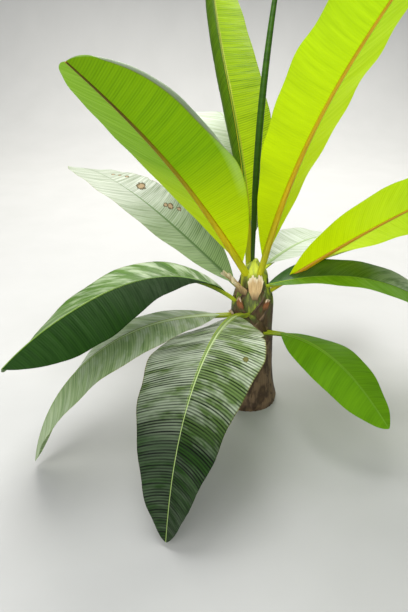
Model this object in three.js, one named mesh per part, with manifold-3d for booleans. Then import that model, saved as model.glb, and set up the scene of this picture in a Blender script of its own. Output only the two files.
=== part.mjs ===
// A young banana plant: one short leafy stem with a flat cut at the ground, a crown of thirteen broad leaves,
// and the dry sheaths of old leaves round its neck.
// Millimetres, +Z up. The origin is the middle of the flat cut, and the front of the plant faces -Y.
// A heading is an angle seen from above: 0 points along +X, 90 to the back (+Y), -90 to the front.

import * as THREE from "three";
import Module from "manifold-3d";

const wasm = await Module();
wasm.setup();

const CLEARANCE = 0.3;
const SPINE_STEPS = 96;
const BLADE_ROWS = 20;
const CELLS_PER_HALF = 3;
const THICKNESS_SHARE = 0.0105;
const TIP_BLUNTNESS = 0.7;
const SWEEP_POWER = 1.5;
const CURL_FULL_FROM = 0.3;
const CURL_FULL_TO = 0.9;

const STEM = {
  height: 665,
  footRadius: 128,
  waistRadius: 84,
  neckRadius: 60,
  flareHeight: 110,
  neckStart: 470,
  crownStart: 585,
  crownRadius: 20,
  lean: 0.012,
  rings: 22,
  sides: 28,
};

// What a leaf has unless its own entry says otherwise.
const LEAF_DEFAULTS = {
  reach: 50,
  sweep: 0,
  bendFrom: 0,
  bendTo: 1,
  petiole: 0.05,
  widest: 0.5,
  baseRound: 2,
  tipRound: 2.2,
  roll: 0,
  rollEnd: 0,
  foldLeft: 5,
  foldLeftEnd: 0,
  foldRight: 5,
  foldRightEnd: 0,
  curlLeft: 0,
  curlRight: 0,
  leftShare: 1,
  leftCells: CELLS_PER_HALF,
  splitAt: 0,
};

// Each leaf leaves the stem at a height and a heading, rises by its lift and bows over by its bend.
// Left and right are those of someone who looks out along the leaf from the stem.
const LEAVES = {
  leaf_upper_right: {
    heading: -57, sweep: 13, height: 605, lift: 74, bend: 22, bendFrom: -0.1, bendTo: 0.8,
    length: 1690, width: 440, petiole: 0.04, widest: 0.55, baseRound: 1.7,
    roll: -11, rollEnd: -11, foldLeft: 27, foldLeftEnd: 26, foldRight: 6, foldRightEnd: 1, curlRight: -12,
  },
  leaf_upper_left: {
    heading: 227, sweep: 14.5, height: 614, reach: 43, lift: 53, bend: 22, bendTo: 1.27,
    length: 1192, width: 430, petiole: 0.04, widest: 0.52, baseRound: 1.76, leftShare: 0.96,
    roll: 15.5, rollEnd: 33, foldLeft: -2, foldLeftEnd: 28, foldRight: 21.6, foldRightEnd: 41.7,
    curlLeft: -9, curlRight: 3,
  },
  leaf_front: {
    heading: -110, sweep: -2, height: 445, reach: 60, lift: 24, bend: 101, length: 1160, width: 430,
    petiole: 0.15, widest: 0.36, baseRound: 1.6, tipRound: 1.3,
    roll: 9, rollEnd: 10, foldLeft: -14, foldLeftEnd: 22, foldRight: -19, foldRightEnd: 14, splitAt: 0.44,
  },
  leaf_left: {
    heading: 201, sweep: 51, height: 483, reach: 60, lift: 54, bend: 63, bendFrom: -0.23, bendTo: 0.66,
    length: 1110, width: 420, petiole: 0.07, widest: 0.61, baseRound: 1.9, tipRound: 2, rollEnd: 21,
    foldLeft: 22, foldLeftEnd: -36, foldRight: 35, foldRightEnd: -38, curlLeft: -7, splitAt: 0.42,
  },
  leaf_low_left: {
    heading: 213, sweep: -13, height: 430, reach: 60, lift: 13, bend: 97, bendFrom: 0.08, bendTo: 1.15,
    length: 1150, width: 348, petiole: 0.09, widest: 0.48, roll: -3, rollEnd: 22,
    foldLeft: -2, foldLeftEnd: -16, foldRight: 5, foldRightEnd: -28, curlLeft: 6, splitAt: 0.5,
  },
  leaf_right: {
    heading: -18, sweep: -9, height: 544, reach: 30, lift: 21, bend: 92, length: 1290, width: 395,
    petiole: 0.03, widest: 0.3, baseRound: 4, roll: -16, rollEnd: -16,
    foldLeft: 26, foldLeftEnd: 0, foldRight: -2, foldRightEnd: -7, curlLeft: -11, splitAt: 0.45,
  },
  leaf_right_back: {
    heading: 1, sweep: 4, height: 507, lift: 35, bend: 12, length: 1200, width: 460,
    petiole: 0.1, widest: 0.47, baseRound: 2.2, roll: -33, rollEnd: -54,
    foldLeft: 17, foldLeftEnd: -23, foldRight: 26, foldRightEnd: -7,
  },
  leaf_back_left: {
    heading: 150, sweep: -35, height: 515, lift: 33.4, bend: 49, bendFrom: 0.12, bendTo: 1.18,
    length: 1230, width: 333, petiole: 0.03, widest: 0.51, baseRound: 3, tipRound: 2.3, roll: -10, rollEnd: 8,
    foldLeft: 13, foldLeftEnd: 2, foldRight: 15.4, foldRightEnd: -6.7, curlLeft: 5.7, splitAt: 0.5,
  },
  leaf_back: {
    heading: 101, height: 550, lift: 74, bend: 100, length: 1370, width: 400, petiole: 0.1, roll: 4, rollEnd: 4,
    foldLeft: 4, foldLeftEnd: -6, foldRight: 4, foldRightEnd: -6, curlRight: -10, splitAt: 0.5,
  },
  leaf_upper_middle: {
    heading: 112, sweep: -21, height: 590, reach: 30, lift: 86, bend: 39, bendFrom: -0.05, bendTo: 0.6,
    length: 1550, width: 400, petiole: 0.13, widest: 0.38, tipRound: 2.3, rollEnd: 14,
    foldLeft: -16, foldLeftEnd: -15, foldRight: 0, foldRightEnd: -14, curlLeft: 150, curlRight: -20,
    leftShare: 0.7, leftCells: 7,
  },
  leaf_back_right: {
    heading: 46, sweep: -6, height: 600, lift: 14, bend: 40, length: 780, width: 360,
    petiole: 0.06, baseRound: 2.4, roll: -6, foldLeft: 2, splitAt: 0.5,
  },
  leaf_low_right: {
    heading: -51, sweep: 2, height: 360, reach: 70, lift: 19, bend: 60, length: 700, width: 260,
    petiole: 0.16, foldLeft: -10, foldLeftEnd: -10, foldRight: -10, foldRightEnd: -10, splitAt: 0.5,
  },
};

const NEW_LEAF = {
  height: 615, heading: 4.7, reach: 0, lift: 90.6, bend: 9.6, length: 1450,
  baseRadius: 9, radius: 13.5, tipRadius: 5, thickestAt: 0.3, thinsFrom: 0.4,
};
const NEW_LEAF_RINGS = 14;
const NEW_LEAF_SIDES = 10;

const PETIOLE = {
  baseHalf: 24, bladeHalf: 12, tipHalf: 7, shortest: 0.06, thinsFrom: 0.5, ribDepth: 30, ribEnd: 0.6,
};

// Dry pieces of old leaf bases that still stand on the stem.
const SHEATHS = {
  sheath_left: { heading: 218, bottom: 530, top: 645, width: 100, flare: 76, point: 0.8 },
  sheath_front: { heading: -89, bottom: 515, top: 628, width: 42, flare: 10, point: 1.5 },
  old_base_front_left: { heading: -128, bottom: 468, top: 535, width: 40, flare: 16, point: 0.4 },
  old_base_front_right: { heading: -58, bottom: 470, top: 525, width: 36, flare: 12, point: 0.4 },
  old_base_low_left: { heading: -150, bottom: 395, top: 462, width: 60, flare: 18, point: 0.4 },
  old_base_back: { heading: 75, bottom: 440, top: 520, width: 76, flare: 16, point: 0.4 },
};
const SHEATH_THICKNESS = 5;
const SHEATH_FOOT = 20;
const SHEATH_CURVE = 1.5;
const SHEATH_ROWS = 5;
const SHEATH_CELLS = 4;

const COLORS = { stem: 0x4a3d22, blade: 0x6f9a2c, newLeaf: 0x3f6b22, sheath: 0xb59a6a };

const radians = (degrees) => degrees * Math.PI / 180;
const mix = (a, b, t) => a + (b - a) * t;
const clamp01 = (t) => Math.min(1, Math.max(0, t));

function smoothStep(from, to, value) {
  const t = clamp01((value - from) / (to - from));
  return t * t * (3 - 2 * t);
}

// A closed mesh through rings of points, each ring with the same even number of points.
function loft(rings) {
  const count = rings[0].length;
  const positions = rings.flat().flatMap((p) => [p.x, p.y, p.z]);
  const faces = [];
  for (let r = 0; r + 1 < rings.length; r += 1) {
    for (let i = 0; i < count; i += 1) {
      const a = r * count + i;
      const b = r * count + (i + 1) % count;
      faces.push([a, b, b + count], [a, b + count, a + count]);
    }
  }
  const last = (rings.length - 1) * count;
  for (let i = 0; i < count / 2 - 1; i += 1) {
    const [a, b, c, d] = [i, i + 1, count - 2 - i, count - 1 - i];
    faces.push([a, c, b], [a, d, c]);
    faces.push([last + a, last + b, last + c], [last + a, last + c, last + d]);
  }
  return new wasm.Manifold(new wasm.Mesh({
    numProp: 3,
    vertProperties: Float32Array.from(positions),
    triVerts: Uint32Array.from(faces.flat()),
  }));
}

function stemRadius(z) {
  const waist = STEM.waistRadius + (STEM.footRadius - STEM.waistRadius) * Math.exp(-z / STEM.flareHeight);
  const neck = mix(waist, STEM.neckRadius, smoothStep(STEM.neckStart, STEM.crownStart, z));
  return mix(neck, STEM.crownRadius, smoothStep(STEM.crownStart, STEM.height, z) ** 2);
}

function stemSolid(grow) {
  const rings = [];
  for (let r = 0; r <= STEM.rings; r += 1) {
    const z = STEM.height * r / STEM.rings;
    const radius = stemRadius(z) + grow;
    const ring = [];
    for (let i = 0; i < STEM.sides; i += 1) {
      const angle = 2 * Math.PI * i / STEM.sides;
      const top = r === STEM.rings ? z + grow : z;
      ring.push(new THREE.Vector3(STEM.lean * z + radius * Math.cos(angle), radius * Math.sin(angle), top));
    }
    rings.push(ring);
  }
  return loft(rings);
}

function elevation(leaf, s) {
  return radians(leaf.lift - leaf.bend * smoothStep(leaf.bendFrom, leaf.bendTo, s));
}

function bearing(leaf, s) {
  return radians(leaf.heading + leaf.sweep * s ** SWEEP_POWER);
}

function direction(leaf, s) {
  const e = elevation(leaf, s);
  const h = bearing(leaf, s);
  return new THREE.Vector3(Math.cos(e) * Math.cos(h), Math.cos(e) * Math.sin(h), Math.sin(e));
}

// The line of a leaf's midrib from the stem to the tip.
function traceSpine(leaf) {
  const h = radians(leaf.heading);
  const point = new THREE.Vector3(leaf.reach * Math.cos(h), leaf.reach * Math.sin(h), leaf.height);
  const spine = [point.clone()];
  for (let i = 0; i < SPINE_STEPS; i += 1) {
    point.addScaledVector(direction(leaf, (i + 0.5) / SPINE_STEPS), leaf.length / SPINE_STEPS);
    spine.push(point.clone());
  }
  return spine;
}

function frameAt(leaf, spine, s) {
  const place = clamp01(s) * SPINE_STEPS;
  const index = Math.min(Math.floor(place), SPINE_STEPS - 1);
  const origin = spine[index].clone().lerp(spine[index + 1], place - index);
  const h = bearing(leaf, s);
  const level = new THREE.Vector3(-Math.sin(h), Math.cos(h), 0);
  const square = direction(leaf, s).cross(level);
  const roll = radians(mix(leaf.roll, leaf.rollEnd, s));
  const left = level.clone().multiplyScalar(Math.cos(roll)).addScaledVector(square, Math.sin(roll));
  const up = square.multiplyScalar(Math.cos(roll)).addScaledVector(level, -Math.sin(roll));
  return { origin, left, up };
}

function bladeShare(leaf, s) {
  const t = (s - leaf.petiole) / (1 - leaf.petiole);
  if (t <= 0) {
    return 0;
  }
  if (t < leaf.widest) {
    return 1 - (1 - t / leaf.widest) ** leaf.baseRound;
  }
  return (1 - ((t - leaf.widest) / (1 - leaf.widest)) ** leaf.tipRound) ** TIP_BLUNTNESS;
}

function stalkHalf(leaf, s) {
  const stalkEnd = Math.max(leaf.petiole, PETIOLE.shortest);
  const stalk = mix(PETIOLE.baseHalf, PETIOLE.bladeHalf, clamp01(s / stalkEnd));
  return mix(stalk, PETIOLE.tipHalf, smoothStep(PETIOLE.thinsFrom, 1, s));
}

// Points across one half of the blade, from the midrib to the margin, with the slope at each.
function halfProfile(leaf, side, s, grow) {
  const share = side > 0 ? leaf.leftShare : 1;
  const half = Math.max(share * bladeShare(leaf, s) * leaf.width / 2, stalkHalf(leaf, s)) + grow;
  const fold = side > 0 ? mix(leaf.foldLeft, leaf.foldLeftEnd, s) : mix(leaf.foldRight, leaf.foldRightEnd, s);
  const fullCurl = side > 0 ? leaf.curlLeft : leaf.curlRight;
  const curl = fullCurl * smoothStep(0, CURL_FULL_FROM, s) * (1 - smoothStep(CURL_FULL_TO, 1, s));
  const cells = side > 0 ? leaf.leftCells : CELLS_PER_HALF;
  const points = [{ x: 0, z: 0, slope: radians(fold) }];
  let x = 0;
  let z = 0;
  for (let i = 0; i < cells; i += 1) {
    const slope = radians(fold + curl * (i + 0.5) / cells);
    x += half / cells * Math.cos(slope);
    z += half / cells * Math.sin(slope);
    points.push({ x: side * x, z, slope: radians(fold + curl * (i + 1) / cells) });
  }
  return points;
}

// The closed outline of a leaf across its length: over the top from left to right, then back underneath.
function leafRing(leaf, frame, s, grow) {
  const sheet = leaf.length * THICKNESS_SHARE / 2 + grow;
  const rib = mix(PETIOLE.ribDepth, 2 * sheet, smoothStep(0, PETIOLE.ribEnd, s)) - sheet + grow;
  const left = halfProfile(leaf, 1, s, grow).slice(1).reverse();
  const right = halfProfile(leaf, -1, s, grow).slice(1);
  const place = (x, z) => frame.origin.clone().addScaledVector(frame.left, x).addScaledVector(frame.up, z);
  const offset = (p, side, depth) => place(
    p.x - side * Math.sin(p.slope) * depth,
    p.z + Math.cos(p.slope) * depth,
  );
  const over = [
    ...left.map((p) => offset(p, 1, sheet)),
    place(0, sheet),
    ...right.map((p) => offset(p, -1, sheet)),
  ];
  const under = [
    ...left.map((p) => offset(p, 1, -sheet)),
    place(0, -rib),
    ...right.map((p) => offset(p, -1, -sheet)),
  ];
  return [...over, ...under.reverse()];
}

// One leaf, or the stretch of it between two shares of its length.
function leafSolid(leaf, from, to, grow) {
  const spine = traceSpine(leaf);
  const rows = Math.max(6, Math.round(BLADE_ROWS * (to - from)));
  const rings = [];
  for (let r = 0; r <= rows; r += 1) {
    const s = mix(from, to, r / rows);
    const frame = frameAt(leaf, spine, s);
    if (from > 0) {
      frame.origin.addScaledVector(direction(leaf, from), CLEARANCE);
    }
    if (r === rows) {
      frame.origin.addScaledVector(direction(leaf, s), grow);
    }
    rings.push(leafRing(leaf, frame, s, grow));
  }
  return loft(rings);
}

function newLeafSolid(grow) {
  const leaf = { ...LEAF_DEFAULTS, ...NEW_LEAF };
  const spine = traceSpine(leaf);
  const rings = [];
  for (let r = 0; r <= NEW_LEAF_RINGS; r += 1) {
    const s = r / NEW_LEAF_RINGS;
    const frame = frameAt(leaf, spine, s);
    const body = mix(leaf.baseRadius, leaf.radius, smoothStep(0, leaf.thickestAt, s));
    const radius = mix(body, leaf.tipRadius, smoothStep(leaf.thinsFrom, 1, s)) + grow;
    const ring = [];
    for (let i = 0; i < NEW_LEAF_SIDES; i += 1) {
      const angle = 2 * Math.PI * i / NEW_LEAF_SIDES;
      ring.push(frame.origin.clone()
        .addScaledVector(frame.left, radius * Math.cos(angle))
        .addScaledVector(frame.up, radius * Math.sin(angle)));
    }
    rings.push(ring);
  }
  return loft(rings);
}

// A dry sheath stands against the stem, narrows upwards and leans out by its flare.
function sheathSolid(sheath) {
  const rings = [];
  for (let r = 0; r <= SHEATH_ROWS; r += 1) {
    const t = r / SHEATH_ROWS;
    const z = mix(sheath.bottom, sheath.top, t);
    const foot = stemRadius(Math.min(z, sheath.bottom + SHEATH_FOOT));
    const inner = foot + CLEARANCE + sheath.flare * t ** SHEATH_CURVE;
    const half = sheath.width / 2 * mix(1, sheath.point, t ** SHEATH_CURVE) / inner;
    const arc = (radius) => Array.from({ length: SHEATH_CELLS + 1 }, (_, i) => {
      const angle = radians(sheath.heading) + mix(-half, half, i / SHEATH_CELLS);
      return new THREE.Vector3(STEM.lean * z + radius * Math.cos(angle), radius * Math.sin(angle), z);
    });
    rings.push([...arc(inner + SHEATH_THICKNESS), ...arc(inner).reverse()]);
  }
  return loft(rings);
}

function largestPiece(solid) {
  const pieces = solid.decompose();
  return pieces.reduce((best, piece) => (piece.volume() > best.volume() ? piece : best));
}

function toMesh(name, solid, color) {
  const { vertProperties, triVerts } = solid.getMesh();
  const geometry = new THREE.BufferGeometry();
  geometry.setAttribute("position", new THREE.BufferAttribute(Float32Array.from(vertProperties), 3));
  geometry.setIndex(new THREE.BufferAttribute(Uint32Array.from(triVerts), 1));
  geometry.computeVertexNormals();
  const material = new THREE.MeshStandardMaterial({ color, roughness: 0.6, metalness: 0 });
  const mesh = new THREE.Mesh(geometry, material);
  mesh.name = name;
  return mesh;
}

function leafPieces(name, sizes) {
  const leaf = { ...LEAF_DEFAULTS, ...sizes };
  const piece = (suffix, from, to) => ({
    name: name + suffix,
    color: COLORS.blade,
    solid: leafSolid(leaf, from, to, 0),
    cutter: leafSolid(leaf, from, to, CLEARANCE),
  });
  if (leaf.splitAt === 0) {
    return [piece("", 0, 1)];
  }
  return [piece("_inner", 0, leaf.splitAt), piece("_outer", leaf.splitAt, 1)];
}

// Each piece is cut clear of the ones made before it, so that what meets at the crown meets without touching.
function buildPlant() {
  const plant = new THREE.Group();
  const taken = [stemSolid(CLEARANCE)];
  const add = (pieces) => {
    for (const { name, color, solid } of pieces) {
      const free = largestPiece(taken.reduce((rest, other) => rest.subtract(other), solid));
      plant.add(toMesh(name, free, color));
    }
    taken.push(...pieces.map((piece) => piece.cutter));
  };
  plant.add(toMesh("stem", stemSolid(0), COLORS.stem));
  for (const [name, sizes] of Object.entries(LEAVES)) {
    add(leafPieces(name, sizes));
  }
  add([{
    name: "leaf_new_rolled",
    color: COLORS.newLeaf,
    solid: newLeafSolid(0),
    cutter: newLeafSolid(CLEARANCE),
  }]);
  for (const [name, sheath] of Object.entries(SHEATHS)) {
    const solid = sheathSolid(sheath);
    add([{ name, color: COLORS.sheath, solid, cutter: solid }]);
  }
  return plant;
}

export default buildPlant();
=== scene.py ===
import math

import bpy
import numpy as np
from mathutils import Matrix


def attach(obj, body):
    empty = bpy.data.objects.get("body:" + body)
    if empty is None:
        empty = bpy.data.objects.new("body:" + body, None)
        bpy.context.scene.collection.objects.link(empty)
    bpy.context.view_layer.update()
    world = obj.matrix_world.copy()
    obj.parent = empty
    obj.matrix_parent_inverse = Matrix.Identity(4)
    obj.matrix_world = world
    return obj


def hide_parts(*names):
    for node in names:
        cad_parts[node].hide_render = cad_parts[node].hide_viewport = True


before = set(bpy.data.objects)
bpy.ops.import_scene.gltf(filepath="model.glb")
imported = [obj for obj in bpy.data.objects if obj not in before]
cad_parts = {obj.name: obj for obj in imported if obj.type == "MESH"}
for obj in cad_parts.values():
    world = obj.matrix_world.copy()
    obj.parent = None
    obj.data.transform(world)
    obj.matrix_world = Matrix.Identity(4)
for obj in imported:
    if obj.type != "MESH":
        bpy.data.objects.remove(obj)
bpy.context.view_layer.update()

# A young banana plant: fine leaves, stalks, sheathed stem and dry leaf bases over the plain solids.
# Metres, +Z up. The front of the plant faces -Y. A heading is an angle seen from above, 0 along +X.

# How finely the meshes are cut.
SPINE_STEPS = 300
ROW_SPACING = 0.0022
BLADE_CELLS = 24
RIB_ROWS = 160
RIB_SIDES = 14
NEW_LEAF_ROWS = 160
NEW_LEAF_SIDES = 40
STEM_ROWS = 120
STEM_SIDES = 96
CLASP_ROWS = 60
CLASP_CELLS = 48
SHEATH_ROWS = 40
SHEATH_CELLS = 30

# Seeds of the random draws. A leaf or sheath adds its place in its table.
LEAF_SEED = 11
STEM_SEED = 7
SHEATH_SEED = 41

# How a blade ends, sweeps and curls.
TIP_BLUNTNESS = 0.7
SWEEP_POWER = 1.5
CURL_FULL_FROM = 0.3
CURL_FULL_TO = 0.9
RIM_ENDS_FROM = 0.93

# What only shows close by: veins that lean towards the tip, pleats between them, and ruffles.
NARROWEST_HALF = 0.002
BLADE_LIFT = 0.004
VEIN_SWEEP = 0.22
VEIN_ROOM = 0.6
PLEAT_PERIOD = 0.0098
FINE_PERIOD = 0.0029
UNEVEN_PERIODS = (0.13, 0.047)
SLOW_PERIODS = (0.031, 0.043)
RUFFLE_PERIODS = (0.17, 0.29)
TINY = 1e-9

STEM = {
    "height": 0.665, "foot": 0.128, "waist": 0.084, "neck": 0.060, "flare": 0.110,
    "neck_start": 0.470, "crown_start": 0.585, "crown": 0.020, "lean": 0.012,
}
# The stem's core lies inside its sheaths. Its tone is an age: 0 is fresh green and 1 is dry.
CORE = {"sink": 0.008, "old": 0.6, "young": 0.06, "old_to": 0.55, "young_from": 0.61}
# A clasping sheath, from just over its leaf's root down. Pairs are for the youngest and the oldest, and
# growth is how much further out the oldest lies.
CLASP = {
    "over": 0.012, "length": (0.30, 0.44), "stalk_radius": 0.075, "wrap": (1.9, 2.3), "wrapped_at": 0.45,
    "sink": 0.006, "growth": 0.013, "lip": 0.0035, "edge_tuck": 0.010, "foot_tuck": 0.012, "ridge": 0.0014,
}
# Angles round the stem become metres of pattern at these radii.
STEM_PATTERN_RADIUS = 0.08
SHEATH_PATTERN_RADIUS = 0.09

# What a leaf has unless its own entry says otherwise. Lengths are in metres and angles in degrees, and
# places are shares of the leaf's length or of its half's width. Its root stands at heading, reach and
# height, and it rises by lift and droops by bend. A notch is a side, a place, a depth and a width.
LEAF_DEFAULTS = {
    "reach": 0.050, "sweep": 0, "bend_from": 0, "bend_to": 1, "petiole": 0.05, "widest": 0.5,
    "base_round": 2, "tip_round": 2.2, "roll": 0, "roll_end": 0,
    "fold_left": 5, "fold_left_end": 0, "fold_right": 5, "fold_right_end": 0,
    "curl_left": 0, "curl_right": 0, "left_share": 1,
    "rim_left": 0, "rim_right": 0, "rim_from": 0.84, "rim_start": 0.1, "rim_full": 0.3,
    "pleat": 0.0003, "ruffle": 0.004, "rib": 0.85, "vein_tilt": 0.32,
    "notches": (), "look": "shade", "look_left": None, "rib_look": "rib_green",
}

# The leaves of the solids, with what only shows close by: pleats, ruffled rims, notches and looks.
LEAVES = {
    "leaf_upper_right": {
        "heading": -57, "sweep": 13, "height": 0.605, "lift": 74, "bend": 22, "bend_from": -0.1,
        "bend_to": 0.8, "length": 1.690, "width": 0.440, "petiole": 0.04, "widest": 0.55, "base_round": 1.7,
        "roll": -11, "roll_end": -11, "fold_left": 27, "fold_left_end": 26,
        "fold_right": 6, "fold_right_end": 1, "curl_right": -12,
        "ruffle": 0.006, "look": "glow_lime", "rib_look": "rib_orange",
    },
    "leaf_upper_left": {
        "heading": 227, "sweep": 14.5, "height": 0.614, "reach": 0.043, "lift": 53, "bend": 22,
        "bend_to": 1.27, "length": 1.192, "width": 0.430, "petiole": 0.04, "widest": 0.52,
        "base_round": 1.76, "left_share": 0.96, "roll": 15.5, "roll_end": 33,
        "fold_left": -2, "fold_left_end": 28, "fold_right": 21.6, "fold_right_end": 41.7,
        "curl_left": -9, "curl_right": 3,
        "rim_left": -150, "rim_from": 0.78, "rim_start": 0.4, "rim_full": 0.7, "ruffle": 0.0015, "rib": 1.0,
        "look": "glow_green", "look_left": "glow_painted_rim", "rib_look": "rib_amber",
    },
    "leaf_front": {
        "heading": -110, "sweep": -2, "height": 0.445, "reach": 0.060, "lift": 24, "bend": 101,
        "length": 1.160, "width": 0.430, "petiole": 0.15, "widest": 0.36, "base_round": 1.6, "tip_round": 1.3,
        "roll": 9, "roll_end": 10, "fold_left": -14, "fold_left_end": 22,
        "fold_right": -19, "fold_right_end": 14,
        "pleat": 0.0009, "ruffle": 0.008, "rib": 1.1, "vein_tilt": 0.16,
        "notches": ((1, 0.36, 0.07, 0.006),), "look": "front_more_painted_sheen", "look_left": "front",
    },
    "leaf_left": {
        "heading": 201, "sweep": 51, "height": 0.483, "reach": 0.060, "lift": 54, "bend": 63,
        "bend_from": -0.23, "bend_to": 0.66, "length": 1.110, "width": 0.420, "petiole": 0.07, "widest": 0.61,
        "base_round": 1.9, "tip_round": 2, "roll_end": 21, "fold_left": 22, "fold_left_end": -36,
        "fold_right": 35, "fold_right_end": -38, "curl_left": -7, "pleat": 0.0005, "look_left": "dark",
    },
    "leaf_low_left": {
        "heading": 213, "sweep": -13, "height": 0.430, "reach": 0.060, "lift": 13, "bend": 97,
        "bend_from": 0.08, "bend_to": 1.15, "length": 1.150, "width": 0.348, "petiole": 0.09, "widest": 0.48,
        "roll": -3, "roll_end": 22, "fold_left": -2, "fold_left_end": -16,
        "fold_right": 5, "fold_right_end": -28, "curl_left": 6, "pleat": 0.0005, "look": "pale",
    },
    "leaf_right": {
        "heading": -18, "sweep": -9, "height": 0.544, "reach": 0.030, "lift": 21, "bend": 92,
        "length": 1.290, "width": 0.395, "petiole": 0.03, "widest": 0.3, "base_round": 4,
        "roll": -16, "roll_end": -16, "fold_left": 26, "fold_left_end": 0,
        "fold_right": -2, "fold_right_end": -7, "curl_left": -11, "look": "fresh", "look_left": "painted_shade_and_sheen",
    },
    "leaf_right_back": {
        "heading": 1, "sweep": 4, "height": 0.507, "lift": 35, "bend": 12, "length": 1.200, "width": 0.460,
        "petiole": 0.1, "widest": 0.47, "base_round": 2.2, "roll": -33, "roll_end": -54,
        "fold_left": 17, "fold_left_end": -23, "fold_right": 26, "fold_right_end": -7,
        "look": "glow_lime", "rib_look": "rib_amber",
    },
    "leaf_back_left": {
        "heading": 150, "sweep": -35, "height": 0.515, "lift": 33.4, "bend": 49, "bend_from": 0.12,
        "bend_to": 1.18, "length": 1.230, "width": 0.333, "petiole": 0.03, "widest": 0.51,
        "base_round": 3, "tip_round": 2.3, "roll": -10, "roll_end": 8, "fold_left": 13, "fold_left_end": 2,
        "fold_right": 15.4, "fold_right_end": -6.7, "curl_left": 5.7, "pleat": 0.0004, "rib": 0.6,
        "look": "painted_glare_spotted", "rib_look": "rib_dark",
        "notches": ((-1, 0.42, 0.05, 0.012), (-1, 0.60, 0.07, 0.015), (-1, 0.78, 0.06, 0.010)),
    },
    "leaf_back": {
        "heading": 101, "height": 0.550, "lift": 74, "bend": 100, "length": 1.370, "width": 0.400,
        "petiole": 0.1, "roll": 4, "roll_end": 4, "fold_left": 4, "fold_left_end": -6,
        "fold_right": 4, "fold_right_end": -6, "curl_right": -10, "rib": 0.7, "look": "painted_glare",
    },
    "leaf_upper_middle": {
        "heading": 112, "sweep": -21, "height": 0.590, "reach": 0.030, "lift": 86, "bend": 39,
        "bend_from": -0.05, "bend_to": 0.6, "length": 1.550, "width": 0.400, "petiole": 0.13, "widest": 0.38,
        "tip_round": 2.3, "roll_end": 14, "fold_left": -16, "fold_left_end": -15,
        "fold_right": 0, "fold_right_end": -14, "curl_left": 150, "curl_right": -20, "left_share": 0.7,
        "pleat": 0.0004, "ruffle": 0.002, "rib": 0.7, "look": "glow_ladder", "look_left": "glow_band_painted_shade",
        "rib_look": "rib_yellow",
    },
    "leaf_back_right": {
        "heading": 46, "sweep": -6, "height": 0.600, "lift": 14, "bend": 40, "length": 0.780, "width": 0.360,
        "petiole": 0.06, "base_round": 2.4, "roll": -6, "fold_left": 2, "look": "painted_glare",
    },
    "leaf_low_right": {
        "heading": -51, "sweep": 2, "height": 0.360, "reach": 0.070, "lift": 19, "bend": 60,
        "length": 0.700, "width": 0.260, "petiole": 0.16, "fold_left": -10, "fold_left_end": -10,
        "fold_right": -10, "fold_right_end": -10, "look": "fresh",
    },
}
SPLIT_LEAVES = (
    "leaf_front", "leaf_left", "leaf_low_left", "leaf_right", "leaf_back_left", "leaf_back",
    "leaf_back_right", "leaf_low_right",
)

NEW_LEAF = {
    "height": 0.615, "heading": 4.7, "reach": 0.0, "lift": 90.6, "bend": 9.6, "length": 1.450,
    "base_radius": 0.009, "radius": 0.0135, "tip_radius": 0.005, "thickest_at": 0.3, "thins_from": 0.4,
    "turns": 1.6, "twist": 2.2, "inner_share": 0.72, "pattern_width": 0.12,
}

# Half widths of a stalk and its midrib at shares of the leaf's length, and the rest in those half widths.
STALK_HALVES = ((0, 0.0175), (0.12, 0.0160), (0.4, 0.0085), (0.75, 0.0045), (1, 0.0025))
STALK_DEPTH = 0.9
STALK_CHANNEL = 0.25
STALK_SINK = 0.2
RIB_PATTERN_TURN = 6

# Dry old leaf bases. At its top each stands off the stem by flare and is point times its full width, and
# one corner of the top may hang lower.
SHEATH_SEAT = 0.020
SHEATH_GAP = 0.0015
SHEATH_PROUD = 0.002
PAPER_HALF = 0.0012
SHEATHS = {
    "sheath_left": {
        "heading": 218, "bottom": 0.530, "top": 0.645, "width": 0.100, "flare": 0.076, "point": 0.8,
        "hang": 0.02},
    "sheath_front": {
        "heading": -89, "bottom": 0.515, "top": 0.628, "width": 0.042, "flare": 0.010, "point": 1.5},
    "old_base_front_left": {
        "heading": -128, "bottom": 0.468, "top": 0.535, "width": 0.040, "flare": 0.016, "point": 0.4},
    "old_base_front_right": {
        "heading": -58, "bottom": 0.470, "top": 0.525, "width": 0.036, "flare": 0.012, "point": 0.4},
    "old_base_low_left": {
        "heading": -150, "bottom": 0.395, "top": 0.462, "width": 0.060, "flare": 0.018, "point": 0.4},
    "old_base_back": {
        "heading": 75, "bottom": 0.440, "top": 0.520, "width": 0.076, "flare": 0.016, "point": 0.4},
}

# Looks. A blade's light and dark tones, the light through it and the share of that, its roughness and
# shine, how strong its fine veins show and the painted shade between its pleats (ladder), and its midrib's
# two sides. foot tints it near the stem and sheen, a painted sky reflection, shines in its clouds, both over
# fade, and cover says how much is clouded. A rim is a painted sky reflection on a turned edge. Spots are
# places along and across with a radius, and dead their two tones.
DEAD_SPOTS = (
    (0.886, -0.050, 0.012), (0.806, -0.088, 0.013), (0.850, -0.070, 0.010), (0.676, -0.075, 0.027),
    (0.500, -0.066, 0.013), (0.474, -0.078, 0.017), (0.430, -0.098, 0.012),
)
# The front leaf: its pale foot and its sheen are a painted sky highlight fading down the leaf. Its midrib's
# pale left side is a painted highlight and its darker right side is painted shade.
FRONT_LOOK = {
    "light": (0.018, 0.052, 0.008), "dark": (0.007, 0.022, 0.004), "through": (0.06, 0.16, 0.02),
    "share": 0.08, "rough": 0.32, "veins": 1.0, "painted_pleat_shade": 0.8, "shine": 0.15,
    "midrib": ((0.14, 0.24, 0.02), (0.46, 0.56, 0.26)),
    "foot": (0.260, 0.380, 0.120), "foot_glow": (0.10, 0.24, 0.03), "fade": (0.28, 0.72),
    "painted_sheen": (0.800, 0.840, 0.740),
}
GREEN_LOOK = {
    "light": (0.10, 0.24, 0.004), "dark": (0.06, 0.17, 0.003), "through": (0.125, 0.235, 0.001),
    "share": 0.6, "rough": 0.40, "painted_pleat_shade": 0.2, "shine": 0.2,
    "foot": (0.30, 0.38, 0.002), "foot_glow": (0.50, 0.64, 0.002), "fade": (0.08, 0.55),
}
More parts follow.
